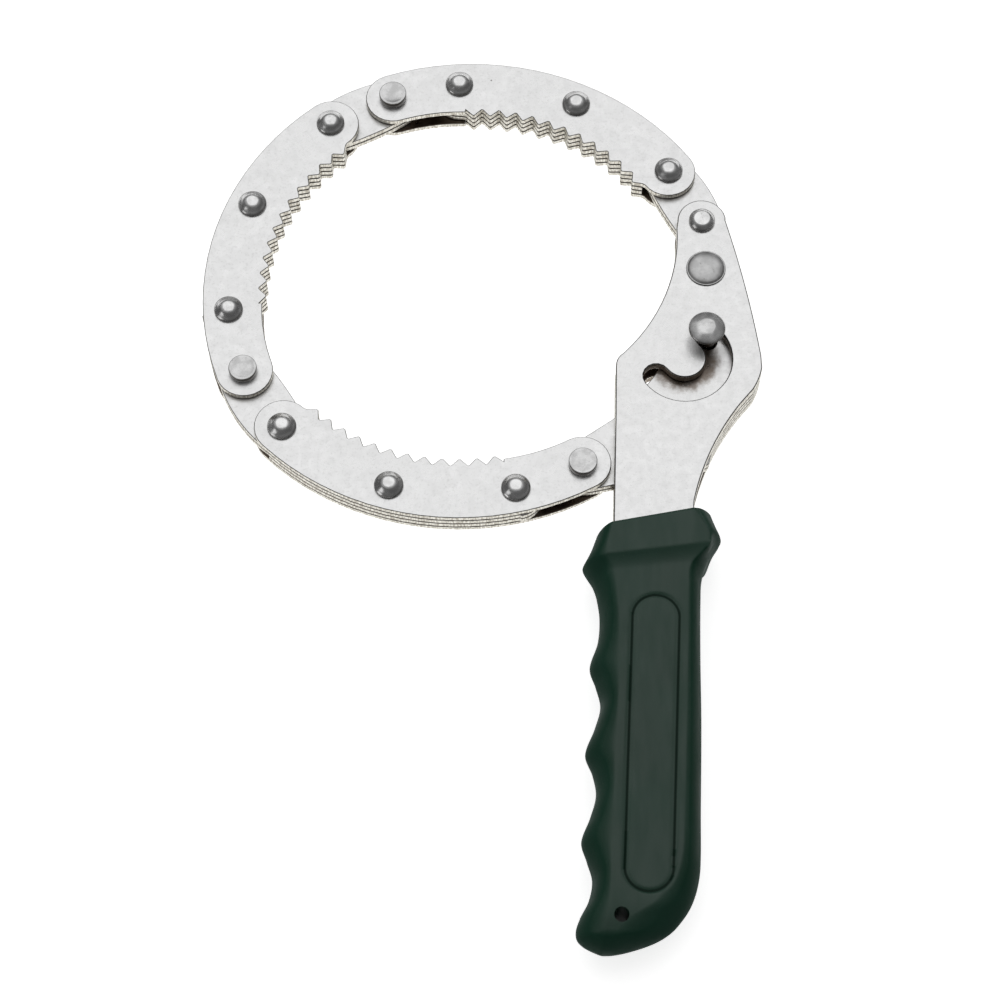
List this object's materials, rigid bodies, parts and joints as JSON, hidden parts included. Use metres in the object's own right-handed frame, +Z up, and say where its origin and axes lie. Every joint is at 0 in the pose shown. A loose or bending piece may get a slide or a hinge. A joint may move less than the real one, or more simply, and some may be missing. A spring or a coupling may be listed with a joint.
{
  "type": "oil filter wrench",
  "caption": "Plate-built oil filter wrench: a ring of toothed jaws and links hinged to a riveted handle with a curved slot, a headed knob and a green finger-shaped rubber grip.",
  "frame": {"origin": "bottom centre of the bounding box, on the surface that the grip lies on", "axes": "+Z up through the stack of plates, +Y from the grip towards the ring of jaws, +X to the right seen from above"},
  "size_m": [0.1507, 0.2566, 0.0224],
  "materials": {
    "plated_steel": "satin zinc-plated stamped sheet",
    "rivet_steel": "polished set rivet heads",
    "dull_rivet": "dull low-domed rivet",
    "green_rubber": "matte moulded dark green rubber"
  },
  "bodies": {
    "handle": {"handle_grip": "green_rubber", "handle_plate_front": "plated_steel", "handle_plate_back": "plated_steel", "handle_tang_spacer": "plated_steel", "handle_neck_spacer": "plated_steel", "handle_neck_rivet": "dull_rivet", "handle_top_rivet": "rivet_steel", "handle_tang_rivet_upper": "rivet_steel", "handle_tang_rivet_lower": "rivet_steel"},
    "link_top": {"link_top_front": "plated_steel", "link_top_back": "plated_steel"},
    "jaw_upper": {"jaw_upper_plate_front": "plated_steel", "jaw_upper_plate_back": "plated_steel", "jaw_upper_lamination_front": "plated_steel", "jaw_upper_lamination_back": "plated_steel", "jaw_upper_rivet_a": "rivet_steel", "jaw_upper_rivet_b": "rivet_steel", "jaw_upper_rivet_c": "rivet_steel", "jaw_upper_rivet_d": "rivet_steel"},
    "link_upper": {"link_upper_front": "plated_steel", "link_upper_back": "plated_steel"},
    "jaw_left": {"jaw_left_plate_front": "plated_steel", "jaw_left_plate_back": "plated_steel", "jaw_left_lamination_front": "plated_steel", "jaw_left_lamination_back": "plated_steel", "jaw_left_rivet_a": "rivet_steel", "jaw_left_rivet_b": "rivet_steel", "jaw_left_rivet_c": "rivet_steel", "jaw_left_rivet_d": "rivet_steel"},
    "link_lower": {"link_lower_front": "plated_steel", "link_lower_back": "plated_steel"},
    "jaw_lower": {"jaw_lower_plate_front": "plated_steel", "jaw_lower_plate_back": "plated_steel", "jaw_lower_lamination_front": "plated_steel", "jaw_lower_lamination_back": "plated_steel", "jaw_lower_rivet_a": "rivet_steel", "jaw_lower_rivet_b": "rivet_steel", "jaw_lower_rivet_c": "rivet_steel", "jaw_lower_rivet_d": "rivet_steel"},
    "swing_plate": {"swing_plate_front": "plated_steel", "swing_plate_back": "plated_steel", "knob_pin": "rivet_steel", "knob_back_head": "rivet_steel"}
  },
  "joints": [
    {"name": "link_top_hinge", "type": "hinge", "parent": "handle", "child": "link_top", "pos_m": [0.06125, 0.07615, 0.011], "axis": [0, 0, 1], "range_deg": [-22.84, 0]},
    {"name": "jaw_upper_hinge", "type": "hinge", "parent": "link_top", "child": "jaw_upper", "pos_m": [0.05272, 0.09291, 0.011], "axis": [0, 0, 1], "range_deg": [-1.3, 1.3]},
    {"name": "link_upper_hinge", "type": "hinge", "parent": "jaw_upper", "child": "link_upper", "pos_m": [-0.02382, 0.11764, 0.011], "axis": [0, 0, 1], "range_deg": [-8, 8]},
    {"name": "jaw_left_hinge", "type": "hinge", "parent": "link_upper", "child": "jaw_left", "pos_m": [-0.04117, 0.10902, 0.011], "axis": [0, 0, 1], "range_deg": [-8, 8]},
    {"name": "link_lower_hinge", "type": "hinge", "parent": "jaw_left", "child": "link_lower", "pos_m": [-0.06307, 0.03162, 0.011], "axis": [0, 0, 1], "range_deg": [-1.2, 1.2]},
    {"name": "jaw_lower_hinge", "type": "hinge", "parent": "link_lower", "child": "jaw_lower", "pos_m": [-0.05227, 0.01483, 0.011], "axis": [0, 0, 1], "range_deg": [0, 10.92]},
    {"name": "swing_plate_hinge", "type": "hinge", "parent": "jaw_lower", "child": "swing_plate", "pos_m": [0.02735, 0.00343, 0.011], "axis": [0, 0, 1], "range_deg": [-48.68, 0]}
  ],
  "couplings": [
    {"joint": "jaw_lower_hinge", "follows": "link_top_hinge", "ratio": -0.4781},
    {"joint": "swing_plate_hinge", "follows": "link_top_hinge", "ratio": 2.1313},
    {"joint": "jaw_upper_hinge", "follows": "link_upper_hinge", "ratio": -0.1515},
    {"joint": "jaw_left_hinge", "follows": "link_upper_hinge", "ratio": -0.9914},
    {"joint": "link_lower_hinge", "follows": "link_upper_hinge", "ratio": 0.1428}
  ]
}
